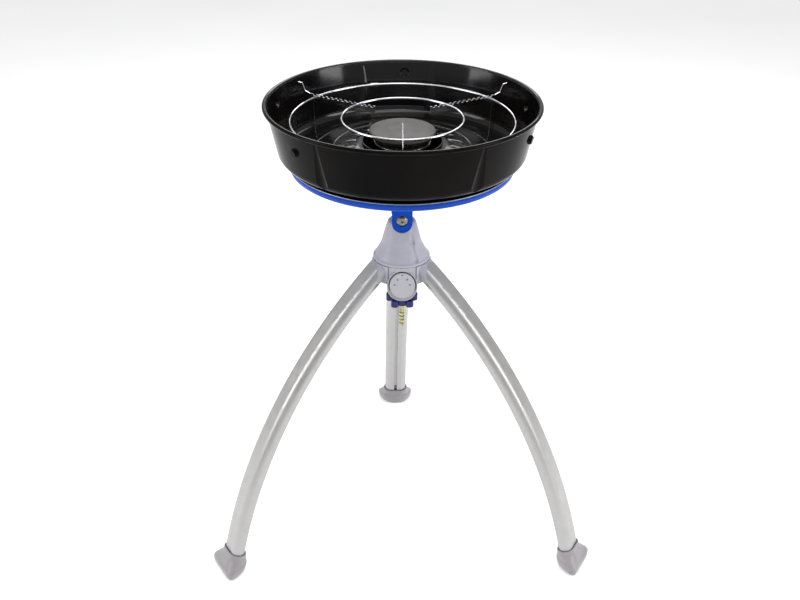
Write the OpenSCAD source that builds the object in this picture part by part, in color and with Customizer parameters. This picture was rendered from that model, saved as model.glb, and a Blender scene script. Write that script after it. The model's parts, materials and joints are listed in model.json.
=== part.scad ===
/* [Fire bowl] */
// Outside diameter of the rolled rim of the fire bowl
rim_d = 460; // [380:1:560]
// Height of the rim bead above the floor
rim_z = 833; // [700:1:950]
// Thickness of the pressed steel of the bowl
bowl_t = 1.6; // [1.2:0.1:3]
// Radius of the opening in the bowl floor around the burner
bowl_hole_r = 66; // [62:1:70]
// Depth of the pressed flutes at the foot of the bowl wall
flute_depth = 3.5; // [2:0.5:5]

/* [Pot stand] */
// Radius of the outer support ring, to the wire centre
outer_ring_r = 186; // [150:1:200]
// Radius of the inner support ring, to the wire centre
inner_ring_r = 101; // [80:1:130]
// Radius of the ring wire
wire_r = 2; // [1.5:0.1:3]
// Thickness of the support plates
plate_t = 1.6; // [1.2:0.1:3]
// Distance between two teeth of the serrated edge
tooth_pitch = 9.5; // [6:0.5:14]

/* [Burner] */
// Radius of the burner cap
cap_r = 55; // [40:1:60]
// Number of flame ports in the burner head
port_count = 24; // [12:1:36]

/* [Gas dish] */
// Outside radius of the blue dish under the bowl
dish_r = 190.5; // [160:0.5:210]
// Height of the dish rim above the floor
dish_z = 734; // [690:1:760]

/* [Tilt joint] */
// Height of the tilt bolt above the floor
tilt_z = 631; // [600:1:660]
// Radius of the round ends of the clevis
clevis_r = 17.7; // [15:0.1:20]
// Radius of the tilt bolt
tilt_bolt_r = 5; // [4:0.5:6]

/* [Hub] */
// Outside radius of the sockets around the hub
socket_r = 52; // [46:1:60]
// Radius of the centre post that the side sockets swing on
post_r = 16; // [14:1:18]
// Upward tilt of the dial axis, in degrees
dial_tilt = 35; // [20:1:50]
// Radius of the control dial
dial_r = 22; // [18:1:26]
// Number of lobes of the hose coupling nut
nut_lobes = 5; // [4:1:6]

/* [Legs] */
// Radius of the arc that each leg follows
leg_arc_r = 930.8; // [800:10:1200]
// Width of the oval leg tube
leg_w = 46; // [40:1:52]
// Thickness of the oval leg tube
leg_t = 26; // [22:1:32]
// Wall thickness of the leg tube
leg_wall = 2.2; // [1.6:0.1:4]
// Half width of a foot
foot_r = 38; // [34:1:42]

/* [Hidden] */
$fn = 96;

plastic_grey = [0.67, 0.66, 0.7];
alloy = [0.78, 0.78, 0.78];
blue = [0.04, 0.2, 0.72];
black = [0.06, 0.05, 0.05];
chrome = [0.85, 0.85, 0.87];
brass = [0.75, 0.68, 0.35];
steel = [0.6, 0.6, 0.6];
foot_grey = [0.62, 0.6, 0.62];

// heights of the hub
socket_z0 = 518.6;
socket_z1 = 552;
ring_gap = 0.3;
ring_mid = (socket_z0 + socket_z1) / 2;
ring_r = 30;
block_r = 30.8;
base_z0 = 512;
base_z1 = 518.2;
cap_z0 = 552.4;
bell_floor_z = 555.4;
housing_half = 24.4;
housing_z0 = 500;
run_gap = 0.06;

// centre of the leg arc in the leg plane
leg_cx = -550.7;
leg_cz = -174.8;
leg_a0 = 12;
leg_a1 = 51;
groove_w = 6;
groove_d = 5;

// feet
foot_cx = 385;
foot_flat = 387;
foot_screw_a = 13.8;
socket_screw_a = 47.6;

// tilt joint
tongue_half = 20.5;
tongue_r = 17;
cheek_in = 20.65;
cheek_out = 26.5;
cheek_drop = 4;
seat_depth = 2.5;
washer_t = 1;

// dial frame
dial_y = -62;
dial_z = 525;
hose_y = -46;
hose_top_z = 499.2;

// bowl profile, from the rim down to the flat of the base
bead_r = 3.6;
wall_top_r = rim_d / 2 - bead_r - 3.1;
wall_slope = 0.2101;
floor_z = 743.5;
corner_r = 16;
corner_cr = 191.5;

module leg_frame(az) {
  rotate([0, 0, az]) children();
}

module dial_frame() {
  translate([0, dial_y, dial_z])
    rotate([90 - dial_tilt, 0, 0])
      children();
}

// Oval outline of the leg tube, with x in the leg plane and grow as an offset
module oval2d(grow) {
  square([leg_t + 2 * grow, leg_w - leg_t], center = true);
  for (s = [-1, 1])
    translate([0, s * (leg_w - leg_t) / 2])
      circle(r = leg_t / 2 + grow);
}

module groove2d(grow) {
  translate([-leg_t / 2 + groove_d / 2 - 5, 0])
    square([groove_d + 10 + 2 * grow, groove_w + 2 * grow], center = true);
}

module tube2d() {
  difference() {
    oval2d(0);
    groove2d(0);
    difference() {
      oval2d(-leg_wall);
      groove2d(leg_wall);
    }
  }
}

module plug2d() {
  difference() {
    oval2d(-leg_wall - 0.15);
    groove2d(leg_wall + 0.15);
  }
}

// Sweeps a section along the leg arc from angle a0 to angle a1
module leg_sweep(a0, a1) {
  translate([leg_cx, 0, leg_cz])
    rotate([90, 0, 0])
      rotate([0, 0, a0])
        rotate_extrude(angle = a1 - a0, $fn = 360)
          translate([leg_arc_r, 0])
            children();
}

// Space at the hub end of a tube that belongs to its socket, wider towards the sides
module socket_side(gap) {
  side = 40;
  tip = socket_r + gap;
  translate([0, 0, 470])
    linear_extrude(100)
      polygon([[0, -side], [tip + 0.4 * side, -side], [tip, 0], [tip + 0.4 * side, side], [0, side]]);
}

module leg_tube() {
  color(alloy)
    difference() {
      leg_sweep(leg_a0, leg_a1) tube2d();
      socket_side(0.1);
      groove_screw_axis(foot_screw_a) screw_hole();
      groove_screw_axis(socket_screw_a) screw_hole();
    }
}

// Axis of a screw in the groove of the tube, from the middle of the tube outwards
module groove_screw_axis(a) {
  translate([leg_cx + leg_arc_r * cos(a), 0, leg_cz + leg_arc_r * sin(a)])
    rotate([0, 270 - a, 0])
      children();
}

module screw_hole() {
  cylinder(r = 2.05, h = 30, $fn = 32);
}

// Outline that trims a foot to its straight outer side, with blunt corners
module foot_trim2d() {
  half = [[-15, 41], [-6, 37.6], [-1.7, 34.6], [0, 30]];
  polygon(concat([[-200, 100]], half, [for (k = [3:-1:0]) [half[k][0], -half[k][1]]], [[-200, -100]]));
}

// Base of a foot: a half disc with its straight side outwards, sloping down from the collar
module foot_base() {
  chamfer = 5;
  edge_z = 12;
  roof_z = 34;
  roof_r = 27;
  intersection() {
    translate([foot_cx, 0, 0]) {
      cylinder(r1 = foot_r - chamfer, r2 = foot_r, h = 8);
      translate([0, 0, 8])
        cylinder(r = foot_r, h = roof_z - 8);
    }
    translate([foot_flat, 0, 0])
      linear_extrude(100)
        foot_trim2d();
    translate([352, 0, 0]) {
      cylinder(r = roof_r + roof_z - edge_z, h = edge_z);
      translate([0, 0, edge_z])
        cylinder(r1 = roof_r + roof_z - edge_z, r2 = roof_r, h = roof_z - edge_z);
    }
  }
}

module leg_foot() {
  collar_a = 13.2;
  color(foot_grey) {
    difference() {
      union() {
        foot_base();
        leg_sweep(11.2, collar_a) oval2d(3.4);
      }
      leg_sweep(leg_a0 - 0.01, leg_a0 + 3) oval2d(0.15);
    }
    difference() {
      leg_sweep(leg_a0 - 0.3, leg_a0 + 2.6) plug2d();
      groove_screw_axis(foot_screw_a) screw_hole();
    }
  }
}

// A pan-head screw along +Z with its head on top
module screw(shank_r, head_r, shank_l, head_h) {
  cylinder(r = shank_r, h = shank_l + 0.01, $fn = 32);
  translate([0, 0, shank_l])
    difference() {
      cylinder(r1 = head_r, r2 = head_r * 0.8, h = head_h, $fn = 48);
      translate([0, 0, head_h - 1])
        cylinder(r = head_r * 0.4, h = 2, $fn = 6);
    }
}

module leg_screws() {
  color(steel)
    for (a = [foot_screw_a, socket_screw_a])
      groove_screw_axis(a)
        screw(2, 2.8, leg_t / 2 - groove_d, 1.8);
}

// Wedge between two azimuths
module wedge(a0, a1, z0, z1) {
  reach = 120;
  mid = (a0 + a1) / 2;
  translate([0, 0, z0])
    linear_extrude(z1 - z0)
      polygon([[0, 0], reach * [cos(a0), sin(a0)], reach * 1.3 * [cos(mid), sin(mid)],
        reach * [cos(a1), sin(a1)]]);
}

// Outer block, collar and plug of a socket, in the frame of its leg
module socket_block(a0, a1) {
  difference() {
    union() {
      intersection() {
        translate([0, 0, socket_z0])
          cylinder(r = socket_r, h = socket_z1 - socket_z0);
        wedge(a0, a1, socket_z0, socket_z1);
      }
      intersection() {
        leg_sweep(48, 51.8) oval2d(0);
        socket_side(0);
        wedge(a0, a1, 480, socket_z1);
      }
    }
    translate([0, 0, socket_z0 - 20])
      cylinder(r = block_r - 0.2, h = 80);
  }
  difference() {
    leg_sweep(46.5, 50.1) plug2d();
    translate([0, 0, 470])
      cylinder(r = 44, h = 100);
    groove_screw_axis(socket_screw_a) screw_hole();
  }
}

// Side socket with its bearing ring between two heights
module swing_socket(a0, a1, ring_z0, ring_z1) {
  color(plastic_grey)
    difference() {
      union() {
        socket_block(a0, a1);
        translate([0, 0, ring_z0])
          cylinder(r = ring_r, h = ring_z1 - ring_z0);
        intersection() {
          wedge(a0, a1, ring_z0, ring_z1);
          translate([0, 0, ring_z0])
            cylinder(r = socket_r - 1, h = ring_z1 - ring_z0);
        }
      }
      translate([0, 0, socket_z0 - 1])
        cylinder(r = post_r + run_gap, h = 60);
    }
}

// Space in front that belongs to the valve housing
module housing_clearance() {
  difference() {
    translate([-housing_half - 0.4, -100, 450])
      cube([2 * (housing_half + 0.4), 80, 120]);
    translate([0, 0, 440])
      cylinder(r = block_r - 0.5, h = 140);
  }
  // round boss around the dial
  dial_frame()
    translate([0, 0, -18.5])
      cylinder(r = dial_r + 4.8, h = 30);
}

module left_socket() {
  difference() {
    leg_frame(210)
      swing_socket(-26.5, 34, ring_mid + ring_gap / 2, socket_z1);
    housing_clearance();
  }
}

module right_socket() {
  difference() {
    leg_frame(330)
      swing_socket(-34, 26.5, socket_z0, ring_mid - ring_gap / 2);
    housing_clearance();
  }
}

module hub_core() {
  color(plastic_grey)
    difference() {
      union() {
        translate([0, 0, base_z0])
          cylinder(r = post_r, h = cap_z0 - base_z0);
        translate([0, 0, base_z0])
          cylinder(r = 34, h = base_z1 - base_z0);
        intersection() {
          translate([0, 0, base_z0])
            cylinder(r = socket_r, h = base_z1 - base_z0);
          wedge(63.5, 116.5, base_z0, base_z1);
        }
        leg_frame(90) socket_block(-26.5, 26.5);
        intersection() {
          translate([0, 0, base_z0])
            cylinder(r = socket_r, h = 8);
          wedge(63.5, 116.5, base_z0, base_z0 + 8);
          translate([-60, 32, base_z0])
            cube([120, 40, 8]);
        }
      }
      translate([0, 0, base_z0 - 1])
        cylinder(r = 4.05, h = 60, $fn = 48);
      cap_screw_places() cylinder(r = 2.05, h = 30, center = true, $fn = 32);
    }
}

module hub_bolt() {
  color(steel)
    translate([0, 0, base_z0 - 5.5]) {
      cylinder(r = 6.5, h = 5.5, $fn = 6);
      cylinder(r = 4, h = 52.5, $fn = 48);
    }
}

module hub_nut() {
  color(steel)
    translate([0, 0, bell_floor_z])
      difference() {
        cylinder(r = 7.4, h = 5, $fn = 6);
        translate([0, 0, -1])
          cylinder(r = 4, h = 7, $fn = 48);
      }
}

// Outside profile of the hub cap, radius against height
cap_profile = [[50, 552.4], [50, 556], [47, 559], [42.5, 567], [38, 575], [34.5, 584], [31.5, 596],
  [28.5, 607], [26, 616], [24.2, 620.5], [22, 622.8], [18, 623.5], [0, 623.5]];

// One of three shallow finger flutes in the flank of the hub cap
flute_points = [[33.4, 0, 625], [36.5, 0, 591.5], [49.6, 0, 564.5]];

module cap_flute() {
  flute_r = 7;
  for (i = [0, 1])
    pipe_run(flute_points[i], flute_points[i + 1], flute_r);
  for (i = [1, 2])
    translate(flute_points[i])
      sphere(r = flute_r + 0.3, $fn = 48);
}

module hub_cap() {
  pocket_r = clevis_r + cheek_drop + 0.45;
  color(plastic_grey)
    difference() {
      union() {
        rotate_extrude()
          polygon(concat([[0, cap_z0]], cap_profile));
        // tongue between the cheeks of the clevis
        translate([0, 0, tilt_z])
          rotate([90, 0, 0])
            cylinder(r = tongue_r, h = 2 * tongue_half, center = true);
      }
      // hollow inside, closed by the neck above
      rotate_extrude()
        polygon([[0, bell_floor_z], [43, bell_floor_z], [42, 558], [34, 568], [28, 577], [24, 584],
          [0, 584]]);
      // pockets for the cheeks of the clevis
      for (s = [-1, 1])
        translate([0, s * (tongue_half + 20), tilt_z])
          rotate([90, 0, 0])
            cylinder(r = pocket_r, h = 40, center = true);
      for (a = [62, 182, 302])
        rotate([0, 0, a]) cap_flute();
      // bore for the tilt bolt
      translate([0, 0, tilt_z])
        rotate([90, 0, 0])
          cylinder(r = tilt_bolt_r + run_gap, h = 80, center = true, $fn = 64);
      // gas pipe passage, hub bolt and screws
      pipe_path(0.4, 20);
      translate([0, 0, cap_z0 - 1])
        cylinder(r = 4.05, h = 10, $fn = 48);
      cap_screw_places() cylinder(r = 2.05, h = 20, center = true, $fn = 32);
    }
}

module cap_screw_places() {
  for (p = [[-14, 36.5], [14, 36.5], [-13, -37], [13, -37]])
    translate([p[0], p[1], 546])
      children();
}

module cap_screws() {
  color(steel)
    cap_screw_places()
      translate([0, 0, -4])
        screw(2, 3.2, bell_floor_z - 542, 2);
}

// Straight runs of the internal gas pipe, joined by round bends
pipe_points = [[0, -38, 520], [0, -38, 560], [12, 0, 592], [12, 0, 644]];

module pipe_run(a, b, r) {
  d = b - a;
  l = norm(d);
  translate(a)
    rotate([0, acos(d[2] / l), atan2(d[1], d[0])])
      rotate([0, 0, 100])
        cylinder(r = r, h = l, $fn = 48);
}

// The whole pipe, thicker by grow and longer at its top end by extra
module pipe_path(grow, extra) {
  last = len(pipe_points) - 1;
  ends = [for (i = [0 : last]) pipe_points[i] + (i == last ? [0, 0, extra] : [0, 0, 0])];
  for (i = [0 : last - 1])
    pipe_run(ends[i], ends[i + 1], 3 + grow);
  for (i = [1 : last - 1])
    translate(ends[i])
      sphere(r = 3.4 + grow, $fn = 48);
}

module gas_pipe() {
  color(brass)
    difference() {
      pipe_path(0, 0);
      valve_solid();
    }
}

module valve_solid() {
  dial_frame()
    translate([0, 0, -26])
      cylinder(r = 14, h = 16);
  translate([0, hose_y, hose_top_z])
    cylinder(r = 8, h = 18);
}

module valve_body() {
  color(brass)
    difference() {
      intersection() {
        valve_solid();
        translate([-30, -90, hose_top_z])
          cube([60, 60, 60]);
      }
      dial_frame()
        translate([0, 0, -22])
          cylinder(r = 4.06, h = 30, $fn = 48);
      translate([0, hose_y, 499])
        cylinder(r = 4, h = 6, $fn = 48);
    }
}

module valve_housing() {
  recess_r = dial_r + 2.3;
  boss_r = dial_r + 4.3;
  color(plastic_grey)
    difference() {
      union() {
        intersection() {
          translate([-housing_half, -60, housing_z0])
            cube([2 * housing_half, 40, 552 - housing_z0]);
          translate([0, 0, housing_z0])
            cylinder(r = 50.5, h = 60);
        }
        intersection() {
          dial_frame()
            translate([0, 0, -18])
              cylinder(r = boss_r, h = 19);
          translate([-40, -110, housing_z0])
            cube([80, 110, 60]);
        }
      }
      // room for the bearing rings and the base flange
      translate([0, 0, housing_z0 - 1])
        cylinder(r = block_r, h = 80);
      translate([0, 0, housing_z0 - 1])
        cylinder(r = 34.2, h = base_z1 - housing_z0 + 1.2);
      // recess for the dial, open at the bottom for the finger
      dial_frame() {
        translate([0, 0, -7])
          cylinder(r = recess_r, h = 20);
        translate([-40, -60, -7])
          cube([80, 54, 30]);
        translate([0, 0, -12])
          cylinder(r = 5, h = 20, $fn = 48);
      }
      valve_solid();
      pipe_path(0.2, 0);
      cap_screw_places() cylinder(r = 2.05, h = 30, center = true, $fn = 32);
    }
}

module control_dial() {
  color([0.74, 0.74, 0.75])
    dial_frame()
      difference() {
        union() {
          translate([0, 0, -6])
            cylinder(r = dial_r, h = 6.5);
          translate([0, 0, 0.5])
            cylinder(r1 = dial_r, r2 = dial_r - 1.2, h = 1);
        }
        translate([0, 0, -6.5])
          cylinder(r = 4, h = 3.5, $fn = 48);
        for (i = [0 : 12])
          rotate([0, 0, 198 + i * 12])
            translate([dial_r + 0.8, 0, -8])
              cylinder(r = 1.8, h = 12, $fn = 32);
      }
}

module dial_marks() {
  color([0.25, 0.25, 0.35])
    dial_frame()
      translate([0, 0, 1.5]) {
        for (a = [5, 50, 130, 175])
          rotate([0, 0, a])
            translate([13, 0, 0])
              linear_extrude(0.3)
                polygon([[-2.2, 0], [0, -1.3], [2.6, 0], [0, 1.3]]);
        translate([0, 18.2, 0])
          linear_extrude(0.3)
            polygon([[-1.6, -1.6], [1.6, -1.6], [0, 1.6]]);
      }
}

module dial_spindle() {
  color(brass)
    dial_frame()
      translate([0, 0, -20])
        cylinder(r = 4, h = 17, $fn = 48);
}

module hose_nut() {
  color([0.05, 0.1, 0.4])
    translate([0, hose_y, 486])
      difference() {
        union() {
          cylinder(r = 18.5, h = 12);
          for (i = [0 : nut_lobes - 1])
            rotate([0, 0, 90 + i * 360 / nut_lobes])
              translate([22, 0, 0])
                cylinder(r = 6.8, h = 12);
        }
        translate([0, 0, -1])
          cylinder(r = 5 + run_gap, h = 20, $fn = 48);
        translate([0, 0, 5])
          cylinder(r = 9, h = 20, $fn = 48);
      }
}

module hose_tail() {
  barb_l = 7;
  barb_n = 5;
  tip_z = 435.5;
  color(brass)
    difference() {
      union() {
        translate([0, hose_y, tip_z + barb_l * barb_n])
          cylinder(r = 5, h = hose_top_z - tip_z - barb_l * barb_n, $fn = 48);
        translate([0, hose_y, 492])
          cylinder(r = 7.5, h = 7.2, $fn = 48);
        for (i = [0 : barb_n - 1])
          translate([0, hose_y, tip_z + i * barb_l])
            cylinder(r1 = 3.4, r2 = 4.6, h = barb_l, $fn = 48);
      }
      translate([0, hose_y, tip_z - 1])
        cylinder(r = 2, h = 80, $fn = 32);
    }
}

module clevis() {
  cheek_t = cheek_out - cheek_in;
  bridge_z = 656;
  plate_z = 668;
  color(blue)
    difference() {
      union() {
        for (s = [-1, 1])
          translate([0, s * (cheek_in + cheek_out) / 2, 0]) {
            translate([0, 0, tilt_z - cheek_drop])
              rotate([90, 0, 0])
                cylinder(r = clevis_r, h = cheek_t, center = true);
            translate([-clevis_r, -cheek_t / 2, tilt_z - cheek_drop])
              cube([2 * clevis_r, cheek_t, plate_z - tilt_z + cheek_drop]);
          }
        translate([-clevis_r, -cheek_out, bridge_z])
          cube([2 * clevis_r, 2 * cheek_out, plate_z - bridge_z]);
        translate([0, 0, plate_z])
          cylinder(r = 42, h = 6);
      }
      translate([0, 0, tilt_z])
        rotate([90, 0, 0])
          cylinder(r = tilt_bolt_r + 0.03, h = 80, center = true, $fn = 64);
      for (s = [-1, 1])
        translate([0, s * cheek_out, tilt_z])
          rotate([90, 0, 0])
            cylinder(r = 10.6, h = 2 * seat_depth, center = true);
      translate([0, 0, bridge_z - 1])
        cylinder(r = 9, h = 40);
      clevis_screw_places() cylinder(r = 2.5, h = 30, center = true, $fn = 32);
    }
}

module clevis_screw_places() {
  for (a = [45 : 90 : 315])
    rotate([0, 0, a])
      translate([33, 0, 674])
        children();
}

module clevis_screws() {
  color(steel)
    clevis_screw_places()
      rotate([180, 0, 0])
        translate([0, 0, -8])
          screw(2.45, 4.5, 14, 3);
}

module tilt_bolt() {
  head_y = cheek_out - seat_depth + washer_t;
  nut_end = 8.5;
  color(steel)
    translate([0, 0, tilt_z])
      rotate([90, 0, 0]) {
        translate([0, 0, -head_y - nut_end])
          cylinder(r = tilt_bolt_r, h = 2 * head_y + nut_end + 1, $fn = 64);
        translate([0, 0, head_y])
          difference() {
            union() {
              cylinder(r = 8.8, h = 2.4);
              translate([0, 0, 2.4])
                cylinder(r1 = 8.8, r2 = 6.2, h = 2);
            }
            translate([0, 0, 2])
              cylinder(r = 3.2, h = 4, $fn = 6);
          }
      }
}

module tilt_nut() {
  color(steel)
    translate([0, cheek_out - seat_depth + washer_t, tilt_z])
      rotate([-90, 0, 0])
        difference() {
          cylinder(r = 9.2, h = 7, $fn = 6);
          translate([0, 0, -1])
            cylinder(r = tilt_bolt_r, h = 12, $fn = 64);
        }
}

module tilt_washers() {
  color(steel)
    for (s = [-1, 1])
      translate([0, s * (cheek_out - seat_depth + washer_t / 2), tilt_z])
        rotate([90, 0, 0])
          difference() {
            cylinder(r = 9.8, h = washer_t, center = true);
            cylinder(r = tilt_bolt_r + 0.05, h = 4, center = true, $fn = 64);
          }
}

// Height of the inner surface of the dish at a radius on its slope
function dish_floor(r) = 676 + (r - 59.5) * (dish_z - 11 - 676) / (dish_r - 7.5 - 59.5);

module gas_dish() {
  r = dish_r;
  z = dish_z;
  color(blue)
    difference() {
      rotate_extrude()
        polygon([[0, 674], [60, 674], [r - 7, z - 13], [r - 2.5, z - 9.5], [r, z - 3.5], [r, z],
          [r - 2, z], [r - 2, z - 3.5], [r - 4, z - 8], [r - 7.5, z - 11], [59.5, 676], [0, 676]]);
      translate([0, 0, 670])
        cylinder(r = 6.1, h = 10);
      clevis_screw_places() cylinder(r = 2.5, h = 30, center = true, $fn = 32);
      // air inlets in the sloping underside
      for (a = [0 : 45 : 315])
        rotate([0, 0, a + 22.5])
          translate([110, 0, 680])
            cylinder(r = 8, h = 40, $fn = 48);
    }
}

module dish_trim() {
  color(chrome)
    rotate_extrude()
      translate([dish_r - 1, dish_z + 0.9])
        circle(r = 0.9, $fn = 32);
}

module heat_ring() {
  color(black)
    rotate_extrude()
      polygon([[180, dish_floor(180)], [182, dish_floor(182)], [182, 743.2], [172, 743.2], [150, 747.4],
        [150, 745.5], [172, 741.3], [180, 741.3]]);
}

module burner_stand() {
  color(steel)
    for (a = [30, 150, 270])
      rotate([0, 0, a])
        translate([38, 0, 676])
          difference() {
            cylinder(r = 3.5, h = 80, $fn = 48);
            translate([0, 0, 70])
              cylinder(r = 2, h = 20, $fn = 32);
          }
}

module burner_screws() {
  color(steel)
    for (a = [30, 150, 270])
      rotate([0, 0, a])
        translate([38, 0, 750])
          screw(1.95, 3.4, 8, 2);
}

module injector() {
  color(brass)
    difference() {
      union() {
        translate([0, 0, 666])
          cylinder(r = 6, h = 12, $fn = 48);
        translate([0, 0, 676])
          cylinder(r = 9, h = 8, $fn = 6);
        translate([0, 0, 684])
          cylinder(r1 = 5, r2 = 3, h = 16, $fn = 48);
      }
      translate([0, 0, 660])
        cylinder(r = 2, h = 36, $fn = 32);
      translate([0, 0, 690])
        cylinder(r = 0.5, h = 20, $fn = 24);
    }
}

module mixing_tube() {
  color(steel)
    difference() {
      union() {
        translate([0, 0, 704])
          cylinder(r = 13, h = 50);
        translate([0, 0, 696])
          cylinder(r1 = 15, r2 = 13, h = 8);
      }
      translate([0, 0, 690])
        cylinder(r = 11.5, h = 80);
      for (a = [0, 90])
        rotate([0, 90, a])
          translate([-712, 0, 0])
            cylinder(r = 4, h = 60, center = true, $fn = 32);
    }
}

module burner_head() {
  color(steel)
    difference() {
      union() {
        translate([0, 0, 756])
          cylinder(r = 46, h = 18);
        translate([0, 0, 774])
          cylinder(r = 50, h = 4);
        translate([0, 0, 748])
          cylinder(r = 16, h = 10);
      }
      translate([0, 0, 758])
        cylinder(r = 44, h = 30);
      translate([0, 0, 740])
        cylinder(r = 13, h = 30);
      for (i = [0 : port_count - 1])
        rotate([0, 90, i * 360 / port_count])
          translate([-770, 0, 30])
            cylinder(r = 1.3, h = 30, $fn = 24);
      for (a = [30, 150, 270])
        rotate([0, 0, a])
          translate([38, 0, 750])
            cylinder(r = 2, h = 20, $fn = 32);
    }
}

module burner_band() {
  color(chrome)
    translate([0, 0, 758])
      difference() {
        cylinder(r = 47.2, h = 8);
        translate([0, 0, -1])
          cylinder(r = 46, h = 10);
      }
}

module burner_cap() {
  color([0.36, 0.36, 0.37])
    rotate_extrude()
      polygon([[0, 778], [41, 778], [43.9, 776], [43.9, 778], [cap_r - 3, 778], [cap_r, 781],
        [cap_r, 785.6], [cap_r - 1.4, 787], [0, 788]]);
}

// Bowl outline, t inwards from the outside surface
module bowl2d(t, top_z) {
  cz = floor_z + corner_r;
  wall_r = function (z) wall_top_r - (rim_z - 4 - z) * wall_slope - t * 1.022;
  translate([corner_cr, cz])
    circle(r = corner_r - t);
  polygon([[0, floor_z + 19 + t], [75, floor_z + 19 + t], [172, floor_z + t], [corner_cr, floor_z + t],
    [corner_cr, cz], [wall_r(cz - 3.3), cz - 3.3], [wall_r(top_z), top_z], [0, top_z]]);
}

flute_az = [74.4, 107.4, 231.9, 301.9];
lug_places = [[87.4, 815], [164.4, 812], [13.4, 806], [218.4, 798], [337.4, 799]];

module flute_cutters(grow) {
  axis_r = 229.5;
  z0 = 745;
  z1 = rim_z - 4;
  far_r = axis_r - wall_top_r + (z1 - z0) * wall_slope + flute_depth;
  near_r = axis_r - wall_top_r + 0.6;
  for (a = flute_az)
    rotate([0, 0, a])
      translate([axis_r, 0, z0])
        cylinder(r1 = far_r + grow, r2 = near_r + grow, h = z1 - z0);
}

// Round pressed lugs that stand out from the wall; inset is 0 outside and the wall thickness inside
module lugs(inset, start) {
  lug_h = 4.5;
  lug_r = 8.5;
  for (p = lug_places)
    rotate([0, 0, p[0]])
      translate([wall_top_r - (rim_z - 4 - p[1]) * wall_slope, 0, p[1]])
        rotate([0, 90 + atan(wall_slope), 0])
          translate([0, 0, start])
            cylinder(r1 = lug_r - inset - start * 0.5, r2 = lug_r - inset - (lug_h - inset) * 0.5,
              h = lug_h - inset - start, $fn = 64);
}

module fire_bowl() {
  color(black) {
    difference() {
      union() {
        difference() {
          rotate_extrude($fn = 180)
            bowl2d(0, rim_z);
          flute_cutters(0);
        }
        lugs(0, -0.8);
        rotate_extrude($fn = 180)
          translate([rim_d / 2 - bead_r, rim_z])
            circle(r = bead_r, $fn = 32);
        translate([0, 0, floor_z + 19])
          cylinder(r = bowl_hole_r + 1.6, h = 6);
      }
      difference() {
        rotate_extrude($fn = 180)
          bowl2d(bowl_t, rim_z + 10);
        flute_cutters(bowl_t);
        difference() {
          translate([0, 0, floor_z + 10])
            cylinder(r = bowl_hole_r + 1.6, h = 15);
          translate([0, 0, floor_z])
            cylinder(r = bowl_hole_r, h = 60);
        }
      }
      lugs(bowl_t, -bowl_t - 3);
      translate([0, 0, floor_z - 10])
        cylinder(r = bowl_hole_r, h = 60);
      // hollow under the raised floor
      rotate_extrude($fn = 180)
        polygon([[0, 700], [172, 700], [172, floor_z], [75, floor_z + 19], [0, floor_z + 19]]);
    }
  }
}

module ring_wire(r, z) {
  rotate_extrude($fn = 180)
    translate([r, z])
      circle(r = wire_r, $fn = 32);
}
outer_ring_z = 804;
inner_ring_z = 806;

module outer_ring() {
  color(chrome) ring_wire(outer_ring_r, outer_ring_z);
}

module inner_ring() {
  color(chrome) ring_wire(inner_ring_r, inner_ring_z);
}

module ring_ferrule() {
  color(chrome)
    rotate([0, 0, 102.2])
      rotate_extrude(angle = 4.2, $fn = 180)
        translate([outer_ring_r, outer_ring_z])
          difference() {
            circle(r = wire_r + 1.3, $fn = 32);
            circle(r = wire_r, $fn = 32);
          }
}

// One support plate in the XZ plane, from its inner end to its horn
module plate2d() {
  top = 817;
  bottom = 804.5;
  inner = 53;
  serrated_end = 184;
  tooth_h = 2.8;
  teeth = floor((serrated_end - inner) / tooth_pitch);
  polygon(concat([[inner, bottom], [inner, top]],
    [for (i = [0 : teeth - 1]) each [[inner + (i + 0.35) * tooth_pitch, top],
      [inner + (i + 0.5) * tooth_pitch, top - tooth_h], [inner + (i + 0.85) * tooth_pitch, top - tooth_h],
      [inner + (i + 1) * tooth_pitch, top]]],
    [[serrated_end, top], [193, 820], [199, 833], [207, 834], [207, 830], [202, 829], [197, 816], [191, 806],
    [184, 758], [182, 745.4], [174, 745.4], [176, 770], [177, bottom]]));
}

module support_plates() {
  color(chrome)
    for (a = [28.4, 148.4, 268.4])
      rotate([0, 0, a])
        difference() {
          rotate([90, 0, 0])
            translate([0, 0, -plate_t / 2])
              linear_extrude(plate_t)
                plate2d();
          ring_wire(outer_ring_r, outer_ring_z);
          ring_wire(inner_ring_r, inner_ring_z);
        }
}

module rear_leg_tube() {
  leg_frame(90) leg_tube();
}

module rear_leg_foot() {
  leg_frame(90) leg_foot();
}

module rear_leg_screws() {
  leg_frame(90) leg_screws();
}

module left_leg_tube() {
  leg_frame(210) leg_tube();
}

module left_leg_foot() {
  leg_frame(210) leg_foot();
}

module left_leg_screws() {
  leg_frame(210) leg_screws();
}

module right_leg_tube() {
  leg_frame(330) leg_tube();
}

module right_leg_foot() {
  leg_frame(330) leg_foot();
}

module right_leg_screws() {
  leg_frame(330) leg_screws();
}

hub_core();
hub_cap();
valve_housing();
valve_body();
gas_pipe();
hub_bolt();
hub_nut();
cap_screws();
rear_leg_tube();
rear_leg_foot();
rear_leg_screws();
left_socket();
left_leg_tube();
left_leg_foot();
left_leg_screws();
right_socket();
right_leg_tube();
right_leg_foot();
right_leg_screws();
control_dial();
dial_marks();
dial_spindle();
hose_nut();
hose_tail();
clevis();
clevis_screws();
tilt_bolt();
tilt_nut();
tilt_washers();
gas_dish();
dish_trim();
heat_ring();
burner_stand();
burner_screws();
injector();
mixing_tube();
burner_head();
burner_band();
burner_cap();
fire_bowl();
outer_ring();
inner_ring();
ring_ferrule();
support_plates();
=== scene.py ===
import json
import math

import bpy
import bmesh
from mathutils import Matrix, Vector


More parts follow.
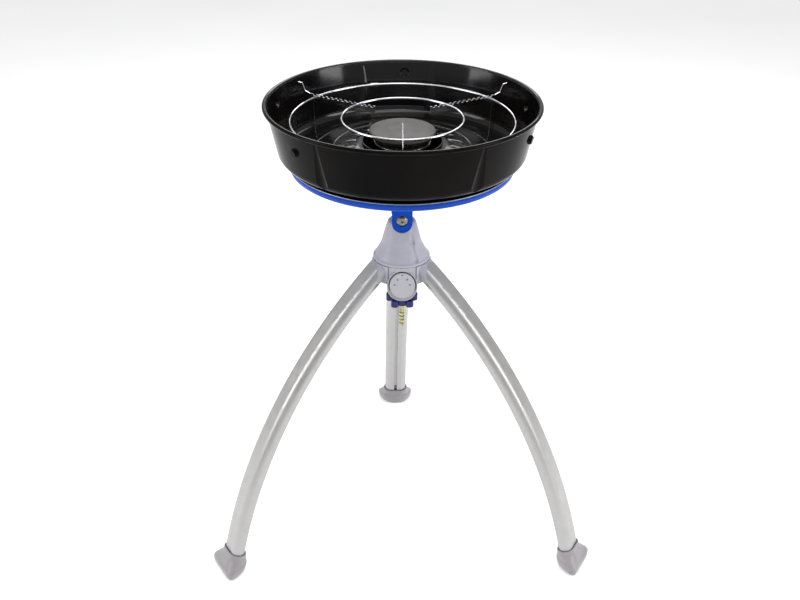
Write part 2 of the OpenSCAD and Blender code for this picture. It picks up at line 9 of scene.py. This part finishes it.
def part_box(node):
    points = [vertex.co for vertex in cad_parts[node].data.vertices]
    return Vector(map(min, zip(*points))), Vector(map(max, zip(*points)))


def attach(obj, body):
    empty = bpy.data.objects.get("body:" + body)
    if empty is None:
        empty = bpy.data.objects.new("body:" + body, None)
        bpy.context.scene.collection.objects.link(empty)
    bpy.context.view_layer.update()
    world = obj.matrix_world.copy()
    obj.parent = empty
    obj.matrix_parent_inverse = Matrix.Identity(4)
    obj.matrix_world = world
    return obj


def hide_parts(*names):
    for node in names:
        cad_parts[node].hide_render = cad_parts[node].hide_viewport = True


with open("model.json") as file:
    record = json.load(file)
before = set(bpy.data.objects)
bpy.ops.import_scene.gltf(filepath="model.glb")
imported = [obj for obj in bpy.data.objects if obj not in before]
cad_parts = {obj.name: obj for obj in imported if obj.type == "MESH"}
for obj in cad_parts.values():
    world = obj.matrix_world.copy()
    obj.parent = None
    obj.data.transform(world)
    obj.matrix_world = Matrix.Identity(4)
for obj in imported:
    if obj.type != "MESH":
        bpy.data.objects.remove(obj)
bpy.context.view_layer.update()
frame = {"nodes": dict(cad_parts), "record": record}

# ---------------------------------------------------------------- camera
# The stand's tripod is turned a little against the viewing direction.
TURN = math.radians(-2.6)
CAMERA_AT = Vector((0.022, -1.718, 1.422))
PITCH, YAW, ROLL = math.radians(29.19), math.radians(0.80), math.radians(0.447)
FOCAL_MM, SENSOR_MM = 49.1, 36.0

cam_data = bpy.data.cameras.new("camera")
cam_data.sensor_width = SENSOR_MM
cam_data.lens = FOCAL_MM
cam = bpy.data.objects.new("camera", cam_data)
bpy.context.collection.objects.link(cam)
turn = Matrix.Rotation(TURN, 4, "Z")
look = Matrix.Rotation(YAW, 4, "Z") @ Matrix.Rotation(math.pi / 2 - PITCH, 4, "X")
cam.matrix_world = turn @ Matrix.Translation(CAMERA_AT) @ look @ Matrix.Rotation(ROLL, 4, "Z")
bpy.context.scene.camera = cam

# ---------------------------------------------------------------- materials
# A Mix node has equally named sockets for each data type, so its colour sockets go by number.
MIX_A, MIX_B, MIX_RESULT = 6, 7, 2
# Near-black colour of the painted shade on the dish's upper side, in the recess under the bowl.
PAINTED_SHADE = (14, 13, 15)


def lin(*rgb):
    """sRGB values from 0 to 255 as linear values."""
    out = []
    for c in rgb:
        c /= 255.0
        out.append(c / 12.92 if c <= 0.04045 else ((c + 0.055) / 1.055) ** 2.4)
    return out


class Nodes:
    """A principled material built with a few short calls."""

    def __init__(self, name, rough, metallic=0.0, **sockets):
        self.mat = bpy.data.materials.new(name)
        self.mat.use_nodes = True
        self.t = self.mat.node_tree
        self.bsdf = self.t.nodes["Principled BSDF"]
        self.bsdf.inputs["Metallic"].default_value = metallic
        self.bsdf.inputs["Roughness"].default_value = rough
        for key, value in sockets.items():
            self.bsdf.inputs[key.replace("_", " ")].default_value = value
        self.coords = self.node("ShaderNodeTexCoord")
        self.pos = self.coords.outputs["Object"]

    def node(self, kind, **props):
        n = self.t.nodes.new(kind)
        for key, value in props.items():
            setattr(n, key, value)
        return n

    def link(self, a, b):
        self.t.links.new(a, b)

    def noise(self, scale, detail):
        n = self.node("ShaderNodeTexNoise")
        n.inputs["Scale"].default_value = scale
        n.inputs["Detail"].default_value = detail
        self.link(self.pos, n.inputs["Vector"])
        return n.outputs["Fac"]

    def ramp(self, fac, low, high, a=0.35, b=0.65):
        """From low to high as the value goes from a to b, and held at each beyond them."""
        r = self.node("ShaderNodeMapRange")
        r.inputs["From Min"].default_value = a
        r.inputs["From Max"].default_value = b
        r.inputs["To Min"].default_value = low
        r.inputs["To Max"].default_value = high
        self.link(fac, r.inputs["Value"])
        return r.outputs["Result"]

    def mix(self, fac, a, b):
        """From colour a to colour b; each is a list of three numbers or an output."""
        m = self.node("ShaderNodeMix", data_type="RGBA")
        self.link(fac, m.inputs["Factor"])
        for socket, value in ((m.inputs[MIX_A], a), (m.inputs[MIX_B], b)):
            if isinstance(value, list):
                socket.default_value = (*value, 1.0)
            else:
                self.link(value, socket)
        return m.outputs[MIX_RESULT]

    def math(self, op, a, b):
        """An operation on an output and a number, or on two outputs."""
        m = self.node("ShaderNodeMath", operation=op)
        self.link(a, m.inputs[0])
        if isinstance(b, float):
            m.inputs[1].default_value = b
        else:
            self.link(b, m.inputs[1])
        return m.outputs[0]

    def dot(self, a, b):
        d = self.node("ShaderNodeVectorMath", operation="DOT_PRODUCT")
        self.link(a, d.inputs[0])
        self.link(b, d.inputs[1])
        return d.outputs["Value"]

    def soften(self, radius):
        """Rounds the edges in the shading, for bump and edges to use."""
        b = self.node("ShaderNodeBevel", samples=4)
        b.inputs["Radius"].default_value = radius
        self.soft_normal = b.outputs["Normal"]

    def edges(self):
        """1 on the softened edges and 0 on flat surfaces."""
        g = self.node("ShaderNodeNewGeometry")
        return self.ramp(self.dot(self.soft_normal, g.outputs["Normal"]), 1.0, 0.0, 0.9, 0.995)

    def from_axis(self):
        """Vector to a point from the stand's axis, in the object's own frame."""
        flat = self.node("ShaderNodeVectorMath", operation="MULTIPLY")
        flat.inputs[1].default_value = (1, 1, 0)
        self.link(self.pos, flat.inputs[0])
        return flat.outputs["Vector"]

    def facing_out(self):
        """Positive where the surface faces away from the stand's axis."""
        return self.dot(self.from_axis(), self.coords.outputs["Normal"])

    def upper_side(self, reach):
        """1 on surfaces that face up within a distance of the stand's axis, else 0."""
        axes = self.node("ShaderNodeSeparateXYZ")
        self.link(self.coords.outputs["Normal"], axes.inputs["Vector"])
        length = self.node("ShaderNodeVectorMath", operation="LENGTH")
        self.link(self.from_axis(), length.inputs[0])
        near = self.ramp(length.outputs["Value"], 1.0, 0.0, reach - 0.01, reach)
        return self.math("MULTIPLY", near, self.ramp(axes.outputs["Z"], 0.0, 1.0, 0.1, 0.2))

    def mottled(self, scale, detail, base, dark):
        """Two colours mixed in patches."""
        return self.mix(self.ramp(self.noise(scale, detail), 0.0, 1.0), base, dark)

    def colour(self, c):
        self.link(c, self.bsdf.inputs["Base Color"])

    def rough(self, r):
        self.link(r, self.bsdf.inputs["Roughness"])

    def bump(self, height, strength, distance):
        b = self.node("ShaderNodeBump")
        b.inputs["Strength"].default_value = strength
        b.inputs["Distance"].default_value = distance
        self.link(height, b.inputs["Height"])
        self.link(self.soft_normal, b.inputs["Normal"])
        self.link(b.outputs["Normal"], self.bsdf.inputs["Normal"])


def moulded(name, base, dark, rough, grain=900.0, strength=0.12, gloss=0.4):
    """Moulded plastic or cast iron: fine grain, faint mottling, and edges painted slightly lighter
    as a highlight.
    """
    n = Nodes(name, rough=rough, Specular_IOR_Level=gloss)
    n.soften(0.0007)
    # Painted highlight: the edges are painted lighter than the base colour.
    edge_highlight = [min(1.0, c * 1.3) for c in base]
    n.colour(n.mix(n.math("MULTIPLY", n.edges(), 0.3), n.mottled(14.0, 4.0, base, dark), edge_highlight))
    n.rough(n.ramp(n.noise(60.0, 4.0), rough - 0.06, rough + 0.08))
    n.bump(n.noise(grain, 2.0), strength, 0.0002)
    return n.mat


def metal(name, base, dark, rough, scale, metallic=1.0, strength=0.08):
    """Bare or plated metal with speckle and varied roughness."""
    n = Nodes(name, metallic=metallic, rough=rough)
    n.soften(0.0004)
    speckle = n.noise(scale, 5.0)
    n.colour(n.mix(n.ramp(speckle, 0.0, 1.0), base, dark))
    worn = n.ramp(n.noise(min(60.0, scale * 0.3), 3.0), rough - 0.05, rough + 0.06)
    n.rough(n.math("ADD", worn, n.math("MULTIPLY", speckle, 0.04)))
    n.bump(speckle, strength, 0.0002)
    return n.mat


def enamel(name, base, dark):
    """Vitreous enamel: glossy inside, duller outside, with faint orange peel and dust."""
    rough = 0.1
    n = Nodes(name, rough=rough, IOR=1.45)
    n.link(n.ramp(n.facing_out(), 0.42, 0.05, 0.04, 0.09), n.bsdf.inputs["Specular IOR Level"])
    n.soften(0.0008)
    n.colour(n.mottled(9.0, 4.0, base, dark))
    dust = n.ramp(n.noise(700.0, 2.0), 0.0, 0.08, 0.6, 0.75)
    n.rough(n.math("ADD", n.ramp(n.noise(25.0, 5.0), rough, rough + 0.06), dust))
    n.bump(n.noise(120.0, 3.0), 0.05, 0.0003)
    return n.mat


def powder(name, base, dark, painted_shade_reach=None):
    """Satin powder coat with a painted highlight on its edges; upper sides within the given reach
    of the stand's axis get painted shade, for the dark recess under the bowl.
    """
    rough = 0.4
    n = Nodes(name, rough=rough, Specular_IOR_Level=0.1)
    n.soften(0.001)
    # Painted highlight: the edges are painted lighter than the base colour.
    edge_highlight = [min(1.0, c * 1.5 + 0.03) for c in base]
    coat = n.mix(n.math("MULTIPLY", n.edges(), 0.35), n.mottled(10.0, 4.0, base, dark), edge_highlight)
    # Painted shade: upper sides near the axis, in the recess under the bowl, are painted nearly
    # black.
    if painted_shade_reach:
        coat = n.mix(n.math("MULTIPLY", n.upper_side(painted_shade_reach), 0.93), coat, lin(*PAINTED_SHADE))
    n.colour(coat)
    n.rough(n.ramp(n.noise(40.0, 4.0), rough - 0.05, rough + 0.08))
    n.bump(n.noise(450.0, 2.0), 0.12, 0.0002)
    return n.mat


M = {
    "hub_plastic": moulded("hub_plastic", lin(177, 176, 182), lin(166, 165, 171), 0.4),
    "leg_alloy": metal(
        "leg_alloy", lin(182, 181, 180), lin(171, 170, 169), 0.38, 900.0, 0.75, 0.05),
    "foot_plastic": moulded(
        "foot_plastic", lin(154, 150, 153), lin(140, 136, 140), 0.34, 700.0, 0.2),
    "zinc_steel": metal("zinc_steel", lin(150, 148, 142), lin(108, 106, 102), 0.32, 240.0),
    "brass": metal("brass", lin(190, 186, 146), lin(140, 136, 94), 0.3, 160.0),
    "dial_face": moulded("dial_face", lin(192, 190, 190), lin(182, 180, 181), 0.42, 500.0, 0.05),
    "dial_print": moulded("dial_print", lin(105, 105, 122), lin(90, 90, 108), 0.6, 400.0, 0.05),
    "nut_blue": moulded("nut_blue", lin(8, 26, 108), lin(6, 18, 88), 0.3, 300.0, 0.06),
    "blue_paint": powder("blue_paint", lin(0, 70, 176), lin(0, 60, 156)),
    # The dish's upper side near the axis gets painted shade.
    "gas_dish": powder("gas_dish", lin(0, 70, 176), lin(0, 60, 156), painted_shade_reach=0.17),
    "chrome": metal("chrome", lin(226, 226, 230), lin(206, 206, 212), 0.12, 300.0, strength=0.03),
    # The dish's trim is coloured pale as a painted highlight along the dish's top edge.
    "dish_trim": metal("dish_trim", lin(168, 172, 186), lin(140, 146, 166), 0.4, 300.0, 0.6),
    "black_enamel": enamel("black_enamel", lin(9, 8, 8), lin(16, 14, 13)),
    "burner_iron": moulded(
        "burner_iron", lin(102, 99, 97), lin(86, 84, 83), 0.6, 500.0, 0.3, 0.2),
    "burner_steel": metal("burner_steel", lin(120, 118, 116), lin(84, 82, 82), 0.34, 120.0),
}

# A node whose name is a material's has that material, and the others have their slot's.
slots = {s["node"]: s["material_slot"] for s in frame["record"]["subparts"]}
for name, obj in frame["nodes"].items():
    for place in obj.material_slots:
        place.material = M[name if name in M else slots[name]]


# ---------------------------------------------------------------- pieces made here
def mesh_object(name, bm, slot):
    """An object from a bmesh, which is freed; its shading is smooth."""
    bmesh.ops.recalc_face_normals(bm, faces=bm.faces)
    me = bpy.data.meshes.new(name)
    bm.to_mesh(me)
    bm.free()
    me.shade_smooth()
    me.materials.append(M[slot])
    o = bpy.data.objects.new(name, me)
    bpy.context.collection.objects.link(o)
    return o


# ---------------------------------------------------------------- feet
# Leg arc in the plane of a leg: its centre and radius, and the oval tube's width and thickness.
ARC_X, ARC_Z, ARC_R = -0.5507, -0.1748, 0.9308
TUBE_W, TUBE_T = 0.046, 0.026
GROOVE_HALF, GROOVE_DEPTH = 0.0028, 0.0047
# Points across half of the tube's flat side; the groove's edge is between the second and third.
FLAT_AT = (0.0, 0.0027, 0.0029, 0.005, 0.0075)
END_STEPS = 14
# Middle of the foot and the centre of its round inner end, as distances from the stand's axis.
FOOT_X, FOOT_ROUND_X = 0.366, 0.385
# How much the inner end's two shoulders stand out from the ellipse, as a share of the radius.
INNER_BULGE = 0.05
# Exponent that blends the sides into the straight outer side: a higher one has sharper corners.
CORNER_POWER = 8
SHARP_ANGLE = math.radians(48)
# Rings of the base from the sole up, in millimetres: the ellipse's reach inwards and sideways, the
# outer side's distance from the stand's axis, and the heights of the outer and inner ends.
BASE_RINGS = (
    (38, 33, 382.5, 0, 0), (40.5, 35, 385, 1.2, 1.2), (43.5, 37.2, 386.9, 5, 5),
    (46.3, 38, 386.9, 11, 13), (46.6, 37.6, 386.3, 13.2, 17), (46, 36.6, 385, 14.8, 20.5),
    (44.8, 35.4, 383.4, 16.4, 23.2),
)
SLOPE_SHARES = (0.3, 0.6, 0.85)
# Rings of the collar, up its outside and down into it: degrees along the leg arc, metres of growth
# over the tube, and whether the ring fills the tube's groove.
COLLAR_RINGS = (
    (12.72, 0.0034, False), (13.18, 0.0034, False), (13.26, 0.003, False),
    (13.3, 0.0022, False), (13.29, 0.0011, False), (13.2, 0.0005, True), (11.95, 0.0003, True),
)


def tube_outline():
    """(radial, sideways, outward normal) round the tube, from the middle of its inner side."""
    half, r = (TUBE_W - TUBE_T) / 2, TUBE_T / 2
    flat = [*FLAT_AT, half]
    ends = [math.pi * k / END_STEPS for k in range(1, END_STEPS)]
    pts = [(-r, y, -1.0, 0.0) for y in flat]
    pts += [(-r * math.cos(a), half + r * math.sin(a), -math.cos(a), math.sin(a)) for a in ends]
    pts += [(r, y, 1.0, 0.0) for y in flat[::-1] + [-y for y in flat[1:]]]
    pts += [(r * math.cos(a), -half - r * math.sin(a), math.cos(a), -math.sin(a)) for a in ends]
    pts += [(-r, -y, -1.0, 0.0) for y in flat[:0:-1]]
    return pts


OUTLINE = tube_outline()


def collar_ring(degrees, grow, tongue):
    """Ring round the tube at an angle along the leg arc; the tongue fills the tube's groove."""
    a = math.radians(degrees)
    ring = []
    for x, y, nx, ny in OUTLINE:
        x, y = x + nx * grow, y + ny * grow
        if tongue and nx < -0.99 and abs(y) < GROOVE_HALF:
            x += GROOVE_DEPTH
        r = ARC_R + x
        ring.append(Vector((ARC_X + r * math.cos(a), y, ARC_Z + r * math.sin(a))))
    return ring


def base_ring(inner, side, flat_x, z_outer, z_inner):
    """Ring of the base: an ellipse inwards, and a straight outer side with blunt corners."""
    e = FOOT_ROUND_X - FOOT_X
    ring = []
    for x, y, _, _ in OUTLINE:
        t = math.atan2(y, x)
        c, s = math.cos(t), math.sin(t)
        q = (c / inner) ** 2 + (s / side) ** 2
        b = e * c / inner ** 2
        r = (b + math.sqrt(b * b - q * (e * e / inner ** 2 - 1))) / q
        r *= 1 + INNER_BULGE * max(0.0, -math.sin(2 * abs(t))) ** 2
        if c > 0.05:
            to_flat = (flat_x - FOOT_X) / c
            r = (r ** -CORNER_POWER + to_flat ** -CORNER_POWER) ** (-1 / CORNER_POWER)
        z = z_outer + (z_inner - z_outer) * (1 - c) / 2
        ring.append(Vector((FOOT_X + r * c, r * s, z)))
    return ring


def foot_rings():
    """Rings of a foot on the X axis, from the sole to the inside of the collar."""
    base = [base_ring(*(v / 1000 for v in row)) for row in BASE_RINGS]
    collar = [collar_ring(*row) for row in COLLAR_RINGS]
    slope = [[p.lerp(q, t) for p, q in zip(base[-1], collar[0])] for t in SLOPE_SHARES]
    return base + slope + collar


def foot(name, node, body, azimuth):
    """Moulded foot that stands for a CAD foot, in the same place."""
    bm = bmesh.new()
    turned = Matrix.Rotation(math.radians(azimuth), 3, "Z")
    rings = [[bm.verts.new(turned @ p) for p in ring] for ring in foot_rings()]
    count = len(OUTLINE)
    for lower, upper in zip(rings, rings[1:]):
        for k in range(count):
            m = (k + 1) % count
            bm.faces.new((lower[k], lower[m], upper[m], upper[k]))
    bm.faces.new(rings[0])
    bm.faces.new(rings[-1])
    o = mesh_object(name, bm, "foot_plastic")
    o.data.set_sharp_from_angle(angle=SHARP_ANGLE)
    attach(o, body)
    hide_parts(node)


foot("rear_foot_moulding", "rear_leg_foot", "hub", 90)
foot("left_foot_moulding", "left_leg_foot", "left_leg", 210)
foot("right_foot_moulding", "right_leg_foot", "right_leg", 330)

# ---------------------------------------------------------------- bowl floor
# Raised floor of the bowl: a flat ring round the burner, then a slope down to the corner.
SLOPE_R0, SLOPE_R1, SLOPE_DROP = 0.075, 0.172, 0.019
RAISED_UNDERSIDE_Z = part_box("fire_bowl")[0].z + SLOPE_DROP
FLOOR_T = 0.0016
# Pressed pads: how many, the radii they run between, half of their angle, and their height.
PADS, PAD_R0, PAD_R1 = 18, 0.0765, 0.106
PAD_HALF_ANGLE = math.radians(6.4)
PAD_HEIGHT, PAD_SINK = 0.0018, 0.0003
PAD_STEPS = 8
# How steeply a pad rises from its edges: it is level beyond 1 / PAD_RISE of its width.
PAD_RISE = 3.2
# Round ridges.
SWAGE_RADII = (0.117, 0.152)
SWAGE_HALF_WIDTH, SWAGE_HEIGHT, SWAGE_SINK = 0.0032, 0.0014, 0.0004
SWAGE_STEPS, SWAGE_TURNS = 8, 160


def floor_height(r):
    """Height of the inner face of the bowl's floor at a radius."""
    slope = SLOPE_DROP / (SLOPE_R1 - SLOPE_R0)
    return RAISED_UNDERSIDE_Z + FLOOR_T - max(0.0, r - SLOPE_R0) * slope


def soft_edge(share):
    """0 at either edge of a pad and 1 over its middle."""
    return min(1.0, PAD_RISE * min(share, 1 - share))


def add_pad(bm, middle):
    """One pressed pad with soft edges round an azimuth; its base is sunk in the floor."""
    top, low = [], []
    for i in range(PAD_STEPS + 1):
        u = i / PAD_STEPS
        r = PAD_R0 + (PAD_R1 - PAD_R0) * u
        for k in range(PAD_STEPS + 1):
            v = k / PAD_STEPS
            a = middle + PAD_HALF_ANGLE * (2 * v - 1)
            rise = math.sin(soft_edge(u) * soft_edge(v) * math.pi / 2)
            z = floor_height(r) - PAD_SINK
            at = (r * math.cos(a), r * math.sin(a))
            top.append(bm.verts.new((*at, z + (PAD_HEIGHT + PAD_SINK) * rise)))
            low.append(bm.verts.new((*at, z - PAD_SINK)))
    row = PAD_STEPS + 1
    for i in range(PAD_STEPS):
        for k in range(PAD_STEPS):
            j = i * row + k
            bm.faces.new((top[j], top[j + 1], top[j + row + 1], top[j + row]))
            bm.faces.new((low[j], low[j + row], low[j + row + 1], low[j + 1]))
    last = PAD_STEPS * row
    edge = list(range(row)) + [i * row + PAD_STEPS for i in range(1, row)]
    edge += [last + k for k in range(PAD_STEPS - 1, -1, -1)]
    edge += [i * row for i in range(PAD_STEPS - 1, 0, -1)]
    for a, b in zip(edge, edge[1:] + edge[:1]):
        bm.faces.new((top[a], low[a], low[b], top[b]))


def add_swage(bm, radius):
    """Round ridge pressed into the floor."""
    section = [(-SWAGE_HALF_WIDTH, -SWAGE_SINK), (SWAGE_HALF_WIDTH, -SWAGE_SINK)]
    for k in range(SWAGE_STEPS + 1):
        a = math.pi * k / SWAGE_STEPS
        section.append((SWAGE_HALF_WIDTH * math.cos(a), SWAGE_HEIGHT * math.sin(a)))
    rings = []
    for t in range(SWAGE_TURNS):
        a = math.tau * t / SWAGE_TURNS
        ring = []
        for x, z in section:
            r = radius + x
            ring.append(bm.verts.new((r * math.cos(a), r * math.sin(a), floor_height(r) + z)))
        rings.append(ring)
    for one, two in zip(rings, rings[1:] + rings[:1]):
        for k in range(len(section)):
            m = (k + 1) % len(section)
            bm.faces.new((one[k], one[m], two[m], two[k]))


def floor_pressing():
    """Radial pads round the burner and two round ridges, on the floor of the bowl."""
    bm = bmesh.new()
    for k in range(PADS):
        add_pad(bm, math.tau * (k + 0.5) / PADS)
    for radius in SWAGE_RADII:
        add_swage(bm, radius)
    o = mesh_object("floor_pressing", bm, "black_enamel")
    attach(o, "bowl")


floor_pressing()

# ---------------------------------------------------------------- stage
FLOOR_HALF_SIZE = 14.0
# The floor lies just under the soles, so that the two faces don't fight.
FLOOR_Z = -0.0005
WORLD_STRENGTH = 0.5


def stage_plane(name, size, z, mat):
    bm = bmesh.new()
    bmesh.ops.create_grid(bm, x_segments=1, y_segments=1, size=size)
    me = bpy.data.meshes.new(name)
    bm.to_mesh(me)
    bm.free()
    o = bpy.data.objects.new(name, me)
    o.location.z = z
    me.materials.append(mat)
    bpy.context.collection.objects.link(o)


floor = Nodes("floor", rough=0.9, Specular_IOR_Level=0.0, Emission_Strength=0.34)
floor.colour(floor.mottled(2.0, 2.0, lin(246, 246, 246), lin(243, 243, 244)))
floor.bsdf.inputs["Emission Color"].default_value = (1, 1, 1, 1)
stage_plane("floor", FLOOR_HALF_SIZE, FLOOR_Z, floor.mat)

world = bpy.data.worlds.new("world")
bpy.context.scene.world = world
world.use_nodes = True
background = world.node_tree.nodes["Background"]
background.inputs["Color"].default_value = (1, 1, 1, 1)
background.inputs["Strength"].default_value = WORLD_STRENGTH


def area_light(name, at, target, size, power):
    """Rectangular light at a place, turned to a target, with its power in watts."""
    d = bpy.data.lights.new(name, "AREA")
    d.shape = "RECTANGLE"
    d.size, d.size_y = size
    d.energy = power
    o = bpy.data.objects.new(name, d)
    o.location = at
    o.rotation_euler = (Vector(target) - Vector(at)).to_track_quat("-Z", "Y").to_euler()
    bpy.context.collection.objects.link(o)


area_light("left", (-2.1, -0.5, 1.5), (0, 0, 0.5), (1.0, 1.9), 26)
area_light("right", (2.1, -0.9, 1.6), (0, 0, 0.5), (1.0, 1.9), 34)
area_light("back", (0.3, 2.2, 2.3), (0, 0, 0.7), (2.0, 1.0), 26)
area_light("top", (0.2, -0.3, 3.2), (0, 0, 0), (1.6, 1.6), 26)
bpy.context.scene.view_settings.view_transform = "Standard"
